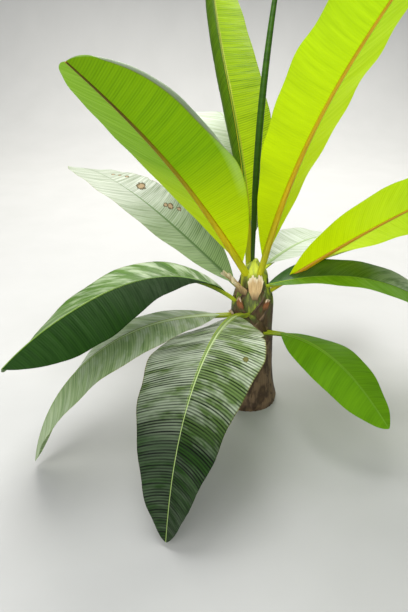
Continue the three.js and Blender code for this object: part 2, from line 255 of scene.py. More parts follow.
BLADE_LOOKS = {
    "front": {
        **FRONT_LOOK, "spots": ((0.484, 0.149, 0.011),),
        "dead": ((0.14, 0.13, 0.04), (0.09, 0.10, 0.02))},
    # The front look with its painted sky sheen spread over more of this half.
    "front_more_painted_sheen": {**FRONT_LOOK, "cover": (0.34, 0.54)},
    "glow_lime": {
        "light": (0.17, 0.30, 0.004), "dark": (0.10, 0.21, 0.003), "through": (0.27, 0.43, 0.002),
        "share": 0.6, "rough": 0.45, "shine": 0.2,
        "foot": (0.28, 0.38, 0.002), "foot_glow": (0.50, 0.64, 0.002), "fade": (0.05, 0.7)},
    "glow_green": GREEN_LOOK,
    # Its rim tint is a painted sky reflection on the rolled outer edge.
    "glow_painted_rim": {**GREEN_LOOK, "rim": (0.50, 0.58, 0.42)},
    "glow_ladder": {
        "light": (0.30, 0.46, 0.010), "dark": (0.18, 0.32, 0.006), "through": (0.55, 0.78, 0.01),
        "share": 0.6, "rough": 0.40, "painted_pleat_shade": 0.5, "shine": 0.2,
        "foot": (0.40, 0.56, 0.01), "foot_glow": (0.8, 0.98, 0.01)},
    # Painted shade: the folded-over half of the upper middle leaf, darker and with less light through it than
    # glow_ladder.
    "glow_band_painted_shade": {
        "light": (0.09, 0.19, 0.004), "dark": (0.05, 0.12, 0.003), "through": (0.12, 0.22, 0.003),
        "share": 0.5, "rough": 0.40, "painted_pleat_shade": 0.3, "shine": 0.2},
    # The left leaf's lit far half. Its sheen is a painted sky reflection.
    "shade": {
        "light": (0.085, 0.180, 0.014), "dark": (0.038, 0.100, 0.008), "through": (0.10, 0.24, 0.03),
        "share": 0.15, "shine": 0.15, "painted_sheen": (0.52, 0.59, 0.42), "fade": (0.2, 0.9)},
    # Painted shade: the near half of the left leaf, which hangs in shade, in darkened tones.
    "dark": {
        "light": (0.012, 0.042, 0.004), "dark": (0.005, 0.022, 0.002), "through": (0.03, 0.09, 0.01),
        "share": 0.10, "rough": 0.5, "shine": 0.02},
    # Painted sky glare: the low left leaf's pale grey-green tones and its sheen stand in for reflected light.
    "pale": {
        "light": (0.500, 0.620, 0.340), "dark": (0.220, 0.350, 0.120), "through": (0.12, 0.28, 0.04),
        "share": 0.15, "painted_pleat_shade": 0.4, "shine": 0.3, "painted_sheen": (0.70, 0.76, 0.62), "fade": (0.3, 0.9)},
    # Painted shade: the far half of the right leaf in darker tones than fresh, with a painted silver sky
    # reflection towards its outer end.
    "painted_shade_and_sheen": {
        "light": (0.022, 0.085, 0.004), "dark": (0.011, 0.050, 0.002), "through": (0.08, 0.24, 0.01),
        "share": 0.25, "shine": 0.2,
        "painted_sheen": (0.60, 0.66, 0.54), "cover": (0.30, 0.52), "fade": (0.48, 0.34)},
    "fresh": {
        "light": (0.130, 0.330, 0.008), "dark": (0.070, 0.220, 0.005), "through": (0.30, 0.56, 0.01),
        "share": 0.45, "shine": 0.15},
    # Painted sky glare: the pale grey-green tones of the back left leaf, darker near the stem. Its dead spots
    # are its own.
    "painted_glare_spotted": {
        "light": (0.350, 0.375, 0.310), "dark": (0.150, 0.195, 0.105), "through": (0.16, 0.32, 0.05),
        "share": 0.10, "rough": 0.50, "painted_pleat_shade": 0.5, "shine": 0.25, "foot": (0.16, 0.25, 0.08),
        "midrib": ((0.05, 0.10, 0.02), (0.07, 0.13, 0.03)), "fade": (0.15, 0.55),
        "spots": DEAD_SPOTS, "dead": ((0.27, 0.20, 0.11), (0.055, 0.045, 0.02))},
    # Painted sky glare: pale whitish tones for the back leaves.
    "painted_glare": {
        "light": (0.430, 0.470, 0.390), "dark": (0.270, 0.330, 0.210), "through": (0.16, 0.32, 0.05),
        "share": 0.10, "rough": 0.50, "painted_pleat_shade": 0.4, "shine": 0.25,
        "midrib": ((0.14, 0.22, 0.05), (0.20, 0.30, 0.10))},
    "rolled": {
        "light": (0.060, 0.160, 0.008), "dark": (0.020, 0.070, 0.005), "through": (0.10, 0.24, 0.02),
        "share": 0.15, "shine": 0.3, "foot": (0.030, 0.080, 0.006)},
}
# A midrib's tones at its foot, middle and tip, the tint of one side, and where that side is, in turns.
RIBS = {
    "rib_amber": ((0.80, 0.86, 0.02), (0.95, 0.78, 0.01), (0.16, 0.12, 0.01), (0.80, 0.40, 0.01), 0.5),
    "rib_orange": ((0.70, 0.72, 0.03), (0.85, 0.62, 0.01), (0.80, 0.46, 0.02), (0.90, 0.40, 0.01), 0.0),
    "rib_yellow": ((0.70, 0.75, 0.03), (0.85, 0.78, 0.03), (0.70, 0.66, 0.02), (0.70, 0.62, 0.02), 0.5),
    "rib_green": ((0.72, 0.85, 0.04), (0.42, 0.60, 0.04), (0.24, 0.42, 0.03), (0.20, 0.34, 0.02), 0.75),
    "rib_dark": ((0.20, 0.30, 0.02), (0.10, 0.17, 0.02), (0.05, 0.10, 0.01), (0.12, 0.16, 0.02), 0.75),
}
# Dry sheaths and old bases: their light and dark fibres and their torn tips.
DRY_LOOKS = {
    "dry": ("dry_sheath", (0.90, 0.70, 0.38), (0.52, 0.31, 0.12), (0.92, 0.80, 0.56)),
    "old": ("old_base", (0.50, 0.20, 0.07), (0.20, 0.07, 0.03), (0.85, 0.70, 0.50)),
}
DRY_FOOT = (0.10, 0.055, 0.025)
DRY_EDGE = ((0.975, (1, 1, 1)), (0.995, (0.72, 0.62, 0.30)))
DEAD_STOPS = (0.50, 0.85)
DEAD_GLOW = (0.10, 0.04, 0.01)
RIB_FIBRE = (0.30, 0.20, 0.05)
STEM_FIBRE = (0.030, 0.020, 0.010)
STEM_TONES = (
    (0.0, (0.52, 0.60, 0.03)), (0.16, (0.26, 0.34, 0.04)), (0.34, (0.10, 0.13, 0.03)),
    (0.55, (0.12, 0.07, 0.028)), (0.80, (0.055, 0.030, 0.015)), (1.0, (0.22, 0.14, 0.075)),
)
# How the veins' coordinates are stretched, and the period of a Wave texture at scale 1.
VEIN_STRETCH = (1, 0.03, 1)
WAVE_PERIOD = 0.314

# The stage: a floor that curves up into a wall, four soft panels and a dim sky.
CAMERA = {"place": (-0.198, -2.25, 1.55), "pitch": 26.0, "lens": 35.0, "sensor": 36.0}
FLOOR = {
    "half_width": 9, "front": -7, "bend_at": 4.5, "bend_radius": 2.5, "wall": (3, 9),
    "tone": (0.38, 0.38, 0.37), "grain": (0.42, 0.42, 0.41),
}
SKY_TONE = (0.86, 0.92, 1.0)
SKY_STRENGTH = 0.22
MIDDLE = (0, 0, 0.8)
PANELS = {
    "light_back": {
        "place": (0.3, 4.9, 4.7), "target": MIDDLE, "size": (7.0, 4.0), "power": 680,
        "color": (1.0, 0.98, 0.93)},
    "light_top": {"place": (-0.4, 0.0, 4.6), "target": (-0.2, -0.1, 0.6), "size": (3.0, 2.0), "power": 210},
    "light_front": {"place": (-1.2, -4.2, 3.2), "target": MIDDLE, "size": (5.0, 4.0), "power": 260},
    "light_wall": {"place": (0.0, 5.4, 5.6), "target": (0, 7.0, 1.4), "size": (8.0, 1.2), "power": 110},
}


def mix(a, b, t):
    return a + (b - a) * t


def smooth_step(start, end, value):
    t = np.clip((np.asarray(value, float) - start) / (end - start), 0, 1)
    return t * t * (3 - 2 * t)


# Shapes

def elevation(leaf, s):
    return np.radians(leaf["lift"] - leaf["bend"] * smooth_step(leaf["bend_from"], leaf["bend_to"], s))


def bearing(leaf, s):
    return np.radians(leaf["heading"] + leaf["sweep"] * s ** SWEEP_POWER)


def direction(leaf, s):
    e = elevation(leaf, s)
    h = bearing(leaf, s)
    return np.stack([np.cos(e) * np.cos(h), np.cos(e) * np.sin(h), np.sin(e)], axis=-1)


def leaf_frames(leaf, rows):
    """The midrib's points and the leaf's left and up directions at each row."""
    middles = (np.arange(rows) + 0.5) / rows
    steps = direction(leaf, middles) * leaf["length"] / rows
    h = math.radians(leaf["heading"])
    start = np.array([leaf["reach"] * math.cos(h), leaf["reach"] * math.sin(h), leaf["height"]])
    points = np.vstack([start, start + np.cumsum(steps, axis=0)])
    s = np.linspace(0, 1, rows + 1)
    bear = bearing(leaf, s)
    level = np.stack([-np.sin(bear), np.cos(bear), np.zeros_like(bear)], axis=-1)
    square = np.cross(direction(leaf, s), level)
    roll = np.radians(mix(leaf["roll"], leaf["roll_end"], s))[:, None]
    left = np.cos(roll) * level + np.sin(roll) * square
    up = np.cos(roll) * square - np.sin(roll) * level
    return s, points, left, up


def blade_share(leaf, s):
    t = np.clip((s - leaf["petiole"]) / (1 - leaf["petiole"]), 0, 1)
    toward_base = np.clip(1 - t / leaf["widest"], 0, 1)
    toward_tip = np.clip((t - leaf["widest"]) / (1 - leaf["widest"]), 0, 1)
    return np.where(
        t < leaf["widest"],
        1 - toward_base ** leaf["base_round"],
        (1 - toward_tip ** leaf["tip_round"]) ** TIP_BLUNTNESS,
    )


def stalk_half(leaf, s):
    return leaf["rib"] * np.interp(s, *zip(*STALK_HALVES))


def notch_factor(leaf, side, s):
    factor = np.ones_like(s)
    for notch_side, place, depth, width in leaf["notches"]:
        if notch_side == side:
            factor -= depth * np.exp(-((s - place) / width) ** 2)
    return factor


class Spine:
    """A leaf's midrib with its left and up directions, read at any share of its length."""

    def __init__(self, leaf):
        self.s, *self.parts = leaf_frames(leaf, SPINE_STEPS)

    def at(self, s):
        return [
            np.stack([np.interp(s, self.s, part[:, axis]) for axis in range(3)], axis=-1)
            for part in self.parts
        ]


def half_width(leaf, side, s):
    share = leaf["left_share"] if side > 0 else 1
    half = share * blade_share(leaf, s) * leaf["width"] / 2 * notch_factor(leaf, side, s)
    return np.maximum(half, NARROWEST_HALF)


def vein_place(leaf, start, v):
    """Where along the leaf the veins have got to at share v of the half: they lean towards the tip."""
    out = blade_share(leaf, start) * leaf["width"] / 2 * v
    run = (leaf["vein_tilt"] * out + VEIN_SWEEP * out * v) / leaf["length"]
    room = VEIN_ROOM * (1 - start) * v
    return start + run * room / (run + room + TINY)


def cross_section(leaf, side, s, v):
    """How far sideways and up the blade has got at share v of its half, and its slope there."""
    key = "left" if side > 0 else "right"
    fold = mix(leaf[f"fold_{key}"], leaf[f"fold_{key}_end"], s)
    curl = leaf[f"curl_{key}"] * smooth_step(0, CURL_FULL_FROM, s) * (1 - smooth_step(CURL_FULL_TO, 1, s))
    rim = leaf[f"rim_{key}"] * smooth_step(leaf["rim_start"], leaf["rim_full"], s)
    rim = rim * (1 - smooth_step(RIM_ENDS_FROM, 1, s))

    def slope(place):
        return np.radians(fold + curl * place + rim * smooth_step(leaf["rim_from"], 1, place))

    steps = max(1, round(v * BLADE_CELLS))
    middles = [(step + 0.5) / steps * v for step in range(steps)]
    x = sum(np.cos(slope(middle)) for middle in middles) * v / steps
    z = sum(np.sin(slope(middle)) for middle in middles) * v / steps
    return x, z, slope(v)


def blade_relief(leaf, vein, s, out, v, phases):
    """The pleats between the veins, slower folds along them and the ruffles of the margin."""
    turn = 2 * math.pi * vein
    long, short = (turn / period for period in UNEVEN_PERIODS)
    uneven = np.sin(long + phases[0] + 3 * v) * np.sin(short + phases[1] - 5 * v)
    pleat = np.sin(turn / PLEAT_PERIOD) * (0.65 + 0.35 * uneven)
    short, long = (turn / period for period in SLOW_PERIODS)
    slow = np.sin(short + phases[2] + 2 * v) + np.sin(long + phases[3] - v)
    fade = smooth_step(0.004, 0.03, out) * (1 - 0.5 * v)
    short, long = (turn / period for period in RUFFLE_PERIODS)
    ruffle = np.sin(short + phases[4]) + np.sin(long + phases[5])
    margin = v ** 2 * smooth_step(0.1, 0.3, s) * (1 - smooth_step(0.9, 1, s)) / 2
    return leaf["pleat"] * fade * (pleat + 0.5 * slow) + leaf["ruffle"] * ruffle * margin


def blade_half(leaf, side, spine, starts, source):
    """One half of the blade as rows that follow its veins, each from the midrib to the margin."""
    phases = source.uniform(0, 2 * math.pi, 6)
    vein = starts * leaf["length"]
    grid = np.empty((len(starts), BLADE_CELLS + 1, 3))
    place = np.empty((len(starts), BLADE_CELLS + 1, 2))
    pattern = np.empty_like(place)
    for cell in range(BLADE_CELLS + 1):
        v = cell / BLADE_CELLS
        s = vein_place(leaf, starts, v)
        half = half_width(leaf, side, s)
        x, z, slope = cross_section(leaf, side, s, v)
        relief = blade_relief(leaf, vein, s, half * v, v, phases)
        points, left, up = spine.at(s)
        px = side * (x * half - np.sin(slope) * relief)
        pz = z * half + np.cos(slope) * relief + BLADE_LIFT
        grid[:, cell] = points + px[:, None] * left + pz[:, None] * up
        place[:, cell] = pairs(0.5 + side * v / 2, s)
        pattern[:, cell] = pairs(vein, side * half * v)
    return grid, place, pattern


def rib_rings(leaf, s, points, left, up):
    """The stalk and midrib: round below, with a shallow channel along the top."""
    half = stalk_half(leaf, s)
    depth = half * STALK_DEPTH
    rings = np.empty((len(s), RIB_SIDES, 3))
    for i in range(RIB_SIDES):
        angle = 2 * math.pi * i / RIB_SIDES
        x = half * math.cos(angle)
        channel = STALK_CHANNEL * half * math.cos(angle) ** 2
        belly = depth * math.sin(angle) if angle > math.pi else 0
        z = channel + belly + BLADE_LIFT - STALK_SINK * half
        rings[:, i] = points + x[:, None] * left + z[:, None] * up
    return rings, half


def grid_faces(rows, columns, first=0, closed=False, flip=False):
    faces = []
    across = columns if closed else columns - 1
    for r in range(rows - 1):
        for c in range(across):
            a = first + r * columns + c
            b = first + r * columns + (c + 1) % columns
            face = (a, b, b + columns, a + columns)
            faces.append(face[::-1] if flip else face)
    return faces


class Shell:
    """Gathers grids of points into one mesh with several materials and two sets of pattern coordinates."""

    def __init__(self, name):
        self.name = name
        self.points = []
        self.faces = []
        self.slots = []
        self.place = []
        self.pattern = []

    def add_grid(self, grid, place, pattern, slot, closed=False, flip=False):
        rows, columns = grid.shape[:2]
        first = sum(len(block) for block in self.points)
        faces = grid_faces(rows, columns, first, closed, flip)
        self.points.append(grid.reshape(-1, 3))
        self.place.append(place.reshape(-1, 2))
        self.pattern.append(pattern.reshape(-1, 2))
        self.faces += faces
        self.slots += [slot] * len(faces)
        return first

    def add_cap(self, first, count, slot, flip=False):
        ring = tuple(range(first, first + count))
        self.faces.append(ring[::-1] if flip else ring)
        self.slots.append(slot)

    def build(self, materials):
        mesh = bpy.data.meshes.new(self.name)
        mesh.from_pydata(np.vstack(self.points).tolist(), [], self.faces)
        corners = np.empty(len(mesh.loops), dtype=np.int32)
        mesh.loops.foreach_get("vertex_index", corners)
        for layer_name, values in (("place", self.place), ("pattern", self.pattern)):
            layer = mesh.uv_layers.new(name=layer_name)
            layer.data.foreach_set("uv", np.vstack(values)[corners].ravel())
        for material in materials:
            mesh.materials.append(material)
        mesh.polygons.foreach_set("material_index", self.slots)
        mesh.polygons.foreach_set("use_smooth", [True] * len(mesh.polygons))
        mesh.update()
        obj = bpy.data.objects.new(self.name, mesh)
        bpy.context.scene.collection.objects.link(obj)
        return obj


def pairs(first, second):
    return np.stack(np.broadcast_arrays(first, second), axis=-1).astype(float)


def leaf_nodes(name):
    return (f"{name}_inner", f"{name}_outer") if name in SPLIT_LEAVES else (name,)


def make_leaf(name, sizes, seed, looks):
    leaf = {**LEAF_DEFAULTS, **sizes}
    source = np.random.default_rng(seed)
    spine = Spine(leaf)
    rows = round((1 - leaf["petiole"]) * leaf["length"] / ROW_SPACING)
    starts = np.linspace(leaf["petiole"], 1, rows + 1)
    shell = Shell(f"{name}_fine")
    for side in (1, -1):
        grid, place, pattern = blade_half(leaf, side, spine, starts, source)
        shell.add_grid(grid, place, pattern, 0 if side > 0 else 1, flip=side > 0)
    s = np.linspace(0, 1, RIB_ROWS + 1)
    rings, half = rib_rings(leaf, s, *spine.at(s))
    turn = np.arange(RIB_SIDES) / RIB_SIDES
    place = pairs(turn[None, :] + 0 * half[:, None], s[:, None])
    pattern = pairs(turn[None, :] * half[:, None] * RIB_PATTERN_TURN, s[:, None] * leaf["length"])
    first = shell.add_grid(rings, place, pattern, 2, closed=True)
    shell.add_cap(first + RIB_ROWS * RIB_SIDES, RIB_SIDES, 2)
    left_look = leaf["look_left"] or leaf["look"]
    obj = shell.build([looks[left_look], looks[leaf["look"]], looks[leaf["rib_look"]]])
    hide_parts(*leaf_nodes(name))
    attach(obj, "root")


def make_new_leaf(looks):
    """The youngest leaf, still rolled: a tight spiral whose free edge runs up it in a long turn."""
    leaf = {**LEAF_DEFAULTS, **NEW_LEAF}
    s, points, left, up = leaf_frames(leaf, NEW_LEAF_ROWS)
    body = mix(leaf["base_radius"], leaf["radius"], smooth_step(0, leaf["thickest_at"], s))
    radius = mix(body, leaf["tip_radius"], smooth_step(leaf["thins_from"], 1, s))
    grid = np.empty((NEW_LEAF_ROWS + 1, NEW_LEAF_SIDES + 1, 3))
    shares = np.arange(NEW_LEAF_SIDES + 1) / NEW_LEAF_SIDES
    for i, t in enumerate(shares):
        angle = 2 * math.pi * leaf["turns"] * t + leaf["twist"] * s
        reach = radius * mix(leaf["inner_share"], 1, t)
        grid[:, i] = points + (reach * np.cos(angle))[:, None] * left + (reach * np.sin(angle))[:, None] * up
    shell = Shell("leaf_new_rolled_fine")
    pattern = pairs(s[:, None] * leaf["length"], shares[None, :] * leaf["pattern_width"])
    shell.add_grid(grid, pairs(shares[None, :], s[:, None]), pattern, 0)
    obj = shell.build([looks["rolled"]])
    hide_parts("leaf_new_rolled")
    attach(obj, "root")


def stem_radius(z):
    waist = STEM["waist"] + (STEM["foot"] - STEM["waist"]) * np.exp(-z / STEM["flare"])
    neck = mix(waist, STEM["neck"], smooth_step(STEM["neck_start"], STEM["crown_start"], z))
    return mix(neck, STEM["crown"], smooth_step(STEM["crown_start"], STEM["height"], z) ** 2)


def stem_point(angle, radius, z):
    x = STEM["lean"] * z + radius * np.cos(angle)
    return np.stack(np.broadcast_arrays(x, radius * np.sin(angle), z), axis=-1)


def make_stem(looks):
    """The stem's core, with one clasping sheath under each leaf, the oldest outermost."""
    source = np.random.default_rng(STEM_SEED)
    shell = Shell("stem_fine")
    z = np.linspace(0, STEM["height"], STEM_ROWS + 1)[:, None]
    angle = (2 * math.pi * np.arange(STEM_SIDES) / STEM_SIDES)[None, :]
    radius = stem_radius(z) - CORE["sink"]
    rough = 0.0012 * np.sin(9 * angle + 11 * z) + 0.0008 * np.sin(23 * angle - 17 * z)
    grid = stem_point(angle, radius + rough, z)
    tone = mix(CORE["old"], CORE["young"], smooth_step(CORE["old_to"], CORE["young_from"], z))
    place = pairs(tone + 0 * angle, z)
    first = shell.add_grid(grid, place, pairs(angle * STEM_PATTERN_RADIUS, z), 0, closed=True)
    shell.add_cap(first, STEM_SIDES, 0, flip=True)
    shell.add_cap(first + STEM_ROWS * STEM_SIDES, STEM_SIDES, 0)
    order = sorted(LEAVES, key=lambda name: -LEAVES[name]["height"])
    for rank, name in enumerate(order):
        leaf = {**LEAF_DEFAULTS, **LEAVES[name]}
        add_clasp(shell, leaf, rank / len(order), source)
    obj = shell.build([looks["stem"]])
    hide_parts("stem")
    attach(obj, "root")


def add_clasp(shell, leaf, age, source):
    """A leaf's sheath: narrow under its stalk, and soon wrapped more than half round the stem."""
    top = leaf["height"] + CLASP["over"]
    bottom = max(0.0, top - mix(*CLASP["length"], age))
    t = np.linspace(0, 1, CLASP_ROWS + 1)[:, None]
    z = mix(top, bottom, t)
    stalk = math.asin(STALK_HALVES[0][1] / CLASP["stalk_radius"])
    half = mix(stalk, mix(*CLASP["wrap"], age), np.clip(t / CLASP["wrapped_at"], 0, 1) ** 0.8)
    across = np.linspace(-1, 1, CLASP_CELLS + 1)[None, :]
    waver = 0.05 * np.sin(14 * t + source.uniform(0, 6)) + 0.03 * np.sin(31 * t + source.uniform(0, 6))
    angle = math.radians(leaf["heading"]) + across * (half + waver)
    out = np.abs(across)
    lip = CLASP["lip"] * smooth_step(0.82, 0.97, out)
    body = stem_radius(z) - CLASP["sink"] + CLASP["growth"] * age
    ridge = CLASP["ridge"] * np.sin(30 * across * half + 3 * age)
    radius = body + lip - CLASP["edge_tuck"] * smooth_step(0.97, 1, out) + ridge * (1 - out ** 6)
    radius = radius - CLASP["foot_tuck"] * smooth_step(0.93, 1, t)
    tone = 0.35 + 0.5 * age + 0.4 * smooth_step(0.7, 0.98, out) - 0.3 * (z - 0.3)
    tone = mix(tone, 0, (1 - smooth_step(0.02, 0.22, t)) * (1 - 0.5 * age))
    grid = stem_point(angle, radius, z)
    place = pairs(np.clip(tone, 0, 1), z)
    shell.add_grid(grid, place, pairs(angle * STEM_PATTERN_RADIUS, z), 0, flip=True)


def make_sheath(name, sizes, seed, looks):
    """A dry old leaf base: crumpled paper with a ragged top and rims that stand off."""
    source = np.random.default_rng(seed)
    t = np.linspace(0, 1, SHEATH_ROWS + 1)[:, None]
    across = np.linspace(-1, 1, SHEATH_CELLS + 1)[None, :]
    foot = float(stem_radius(sizes["bottom"] + SHEATH_SEAT))
    ragged = 0.10 * np.sin(7 * across + source.uniform(0, 6))
    ragged = ragged + 0.07 * np.sin(17 * across + source.uniform(0, 6))
    reach = np.clip(0.95 + 0.8 * ragged - 0.08 * across ** 2, 0.6, 1)
    z = sizes["bottom"] + (sizes["top"] - sizes["bottom"]) * t * reach
    inner = foot + SHEATH_GAP + sizes["flare"] * t ** 1.5
    spread = mix(1, sizes["point"], t ** 1.5) * mix(0.55, 1, smooth_step(0, 0.5, t))
    half = sizes["width"] / 2 * spread / inner
    crumple = 0.0016 * np.sin(19 * across + 5 * t + source.uniform(0, 6))
    crumple = crumple + 0.0012 * np.sin(37 * across - 23 * t + source.uniform(0, 6))
    radius = inner + SHEATH_PROUD + crumple * t + 0.004 * across ** 2 * t
    angle = math.radians(sizes["heading"]) + across * half
    z = z - sizes.get("hang", 0) * t * np.clip(across, 0, 1) ** 2
    shell = Shell(f"{name}_fine")
    place = pairs(across * 0.5 + 0.5, t)
    pattern = pairs(angle * SHEATH_PATTERN_RADIUS, z)
    shell.add_grid(stem_point(angle, radius + PAPER_HALF, z), place, pattern, 0)
    shell.add_grid(stem_point(angle, radius - PAPER_HALF, z), place, pattern, 0, flip=True)
    obj = shell.build([looks["old" if name.startswith("old") else "dry"]])
    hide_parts(name)
    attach(obj, "root")


# Materials

def new_material(name):
    material = bpy.data.materials.new(name)
    material.use_nodes = True
    tree = material.node_tree
    tree.nodes.clear()
    return material, tree


def add_node(tree, kind, **values):
    node = tree.nodes.new(kind)
    for key, value in values.items():
        setattr(node, key, value)
    return node


def uv_vector(tree, layer, scale=(1, 1, 1), offset=(0, 0, 0)):
    source = add_node(tree, "ShaderNodeUVMap", uv_map=layer)
    mapping = add_node(tree, "ShaderNodeMapping")
    mapping.inputs["Scale"].default_value = scale
    mapping.inputs["Location"].default_value = offset
    tree.links.new(source.outputs["UV"], mapping.inputs["Vector"])
    return mapping.outputs["Vector"]


def uv_parts(tree, layer, scale=(1, 1, 1), offset=(0, 0, 0)):
    """The two coordinates of a layer, each by itself."""
    parts = add_node(tree, "ShaderNodeSeparateXYZ")
    tree.links.new(uv_vector(tree, layer, scale, offset), parts.inputs["Vector"])
    return parts.outputs["X"], parts.outputs["Y"]


def noise(tree, layer, stretch, detail=3.0, rough=0.55, scale=1.0):
    """Noise over a layer, stretched by its own numbers along and across."""
    node = add_node(tree, "ShaderNodeTexNoise")
    node.inputs["Scale"].default_value = scale
    node.inputs["Detail"].default_value = detail
    node.inputs["Roughness"].default_value = rough
    tree.links.new(uv_vector(tree, layer, (*stretch, 1)), node.inputs["Vector"])
    return node.outputs["Fac"]


def stripes(tree, vector, period, distortion):
    node = add_node(tree, "ShaderNodeTexWave", bands_direction="X")
    node.inputs["Scale"].default_value = WAVE_PERIOD / period
    node.inputs["Distortion"].default_value = distortion
    node.inputs["Detail"].default_value = 1.0
    tree.links.new(vector, node.inputs["Vector"])
    return node.outputs["Fac"]


def ramp(tree, value, stops):
    node = add_node(tree, "ShaderNodeValToRGB")
    elements = node.color_ramp.elements
    while len(elements) < len(stops):
        elements.new(0.5)
    for element, (place, color) in zip(elements, stops):
        element.position = place
        element.color = (*color, 1)
    tree.links.new(value, node.inputs["Fac"])
    return node.outputs["Color"]


def blend(tree, factor, first, second, mode="MIX"):
    node = add_node(tree, "ShaderNodeMix", data_type="RGBA", blend_type=mode)
    for socket, value in (("Factor", factor), ("A", first), ("B", second)):
        target = next(i for i in node.inputs if i.name == socket and i.enabled)
        if isinstance(value, bpy.types.NodeSocket):
            tree.links.new(value, target)
        else:
            target.default_value = value if socket == "Factor" else (*value, 1)
    return next(o for o in node.outputs if o.enabled)


def math_node(tree, operation, first, second=None):
    node = add_node(tree, "ShaderNodeMath", operation=operation)
    for socket, value in zip(node.inputs, (first, second)):
        if isinstance(value, bpy.types.NodeSocket):
            tree.links.new(value, socket)
        elif value is not None:
            socket.default_value = value
    return node.outputs["Value"]


def gray(tree, value, low, high, start=0.0, end=1.0):
    """A number that runs from low to high while the value runs from start to end."""
    node = add_node(tree, "ShaderNodeMapRange")
    for socket, number in (("From Min", start), ("From Max", end), ("To Min", low), ("To Max", high)):
        node.inputs[socket].default_value = number
    tree.links.new(value, node.inputs["Value"])
    return node.outputs["Result"]


def bump(tree, height, strength, distance, under=None):
    node = add_node(tree, "ShaderNodeBump")
    node.inputs["Strength"].default_value = strength
    node.inputs["Distance"].default_value = distance
    tree.links.new(height, node.inputs["Height"])
    if under is not None:
        tree.links.new(under, node.inputs["Normal"])
    return node.outputs["Normal"]


def finish_shader(tree, color, normal, roughness, specular=0.5, glow=None, glow_share=0.0):
    """A glossy surface, and where glow is given, light that comes through the blade from behind."""
    surface = add_node(tree, "ShaderNodeBsdfPrincipled")
    surface.inputs["Specular IOR Level"].default_value = specular
    tree.links.new(color, surface.inputs["Base Color"])
    tree.links.new(normal, surface.inputs["Normal"])
    if isinstance(roughness, bpy.types.NodeSocket):
        tree.links.new(roughness, surface.inputs["Roughness"])
    else:
        surface.inputs["Roughness"].default_value = roughness
    output = add_node(tree, "ShaderNodeOutputMaterial")
    if glow is None:
        tree.links.new(surface.outputs["BSDF"], output.inputs["Surface"])
        return
    through = add_node(tree, "ShaderNodeBsdfTranslucent")
    tree.links.new(glow, through.inputs["Color"])
    both = add_node(tree, "ShaderNodeMixShader")
    both.inputs["Fac"].default_value = glow_share
    tree.links.new(surface.outputs["BSDF"], both.inputs[1])
    tree.links.new(through.outputs["BSDF"], both.inputs[2])
    tree.links.new(both.outputs["Shader"], output.inputs["Surface"])


def spot_distance(tree, spots):
    """How far each point is from the nearest dead spot, in shares of that spot's radius."""
    pattern = uv_vector(tree, "pattern")
    ragged = noise(tree, "pattern", (60, 110), 2.0)
    nearest = None
    for along, across, radius in spots:
        apart = add_node(tree, "ShaderNodeVectorMath", operation="DISTANCE")
        tree.links.new(pattern, apart.inputs[0])
        apart.inputs[1].default_value = (along, across, 0)
        share = math_node(tree, "DIVIDE", apart.outputs["Value"], radius)
        nearest = share if nearest is None else math_node(tree, "MINIMUM", nearest, share)
    return math_node(tree, "ADD", nearest, gray(tree, ragged, -0.7, 0.7))


def midrib_band(tree, tone, along, across, right, left):
    """Paints the midrib as it shows on top of the blade, narrower towards the tip."""
    width = gray(tree, along, 0.0105, 0.0016, 0.1, 0.65)
    share = math_node(tree, "DIVIDE", across, width)
    band = ramp(tree, gray(tree, share, 0, 1, -1.0, 1.0), [(0.40, right), (0.60, left)])
    edge = math_node(tree, "ABSOLUTE", share)
    return blend(tree, gray(tree, edge, 1, 0, 0.75, 1.15), tone, band)


def vein_shade(tree, fine, veins, painted_pleat_shade, streaks):
    """How dark the fine veins are and how dark the painted shade between the pleats is, uneven from streak to
    streak.
    """
    pleats = stripes(tree, uv_vector(tree, "pattern", VEIN_STRETCH), PLEAT_PERIOD, 0.8)
    uneven = gray(tree, streaks, 0.4, 1.3, 0.35, 0.65)
    painted_pleat_dark = math_node(tree, "MULTIPLY", gray(tree, pleats, 0, painted_pleat_shade), uneven)
    return math_node(tree, "ADD", gray(tree, fine, 0, 0.2 * veins), painted_pleat_dark)


def paint_sky_reflection(tree, tone, along, painted_sheen, cover, fade):
    """A painted sky reflection: a pale shine in clouds along the veins."""
    cloud = noise(tree, "pattern", (26, 9), 3.0)
    clouded = gray(tree, cloud, 0, 0.85, *cover)
    near = gray(tree, along, 1, 0.05, *fade)
    return blend(tree, math_node(tree, "MULTIPLY", clouded, near), tone, painted_sheen)


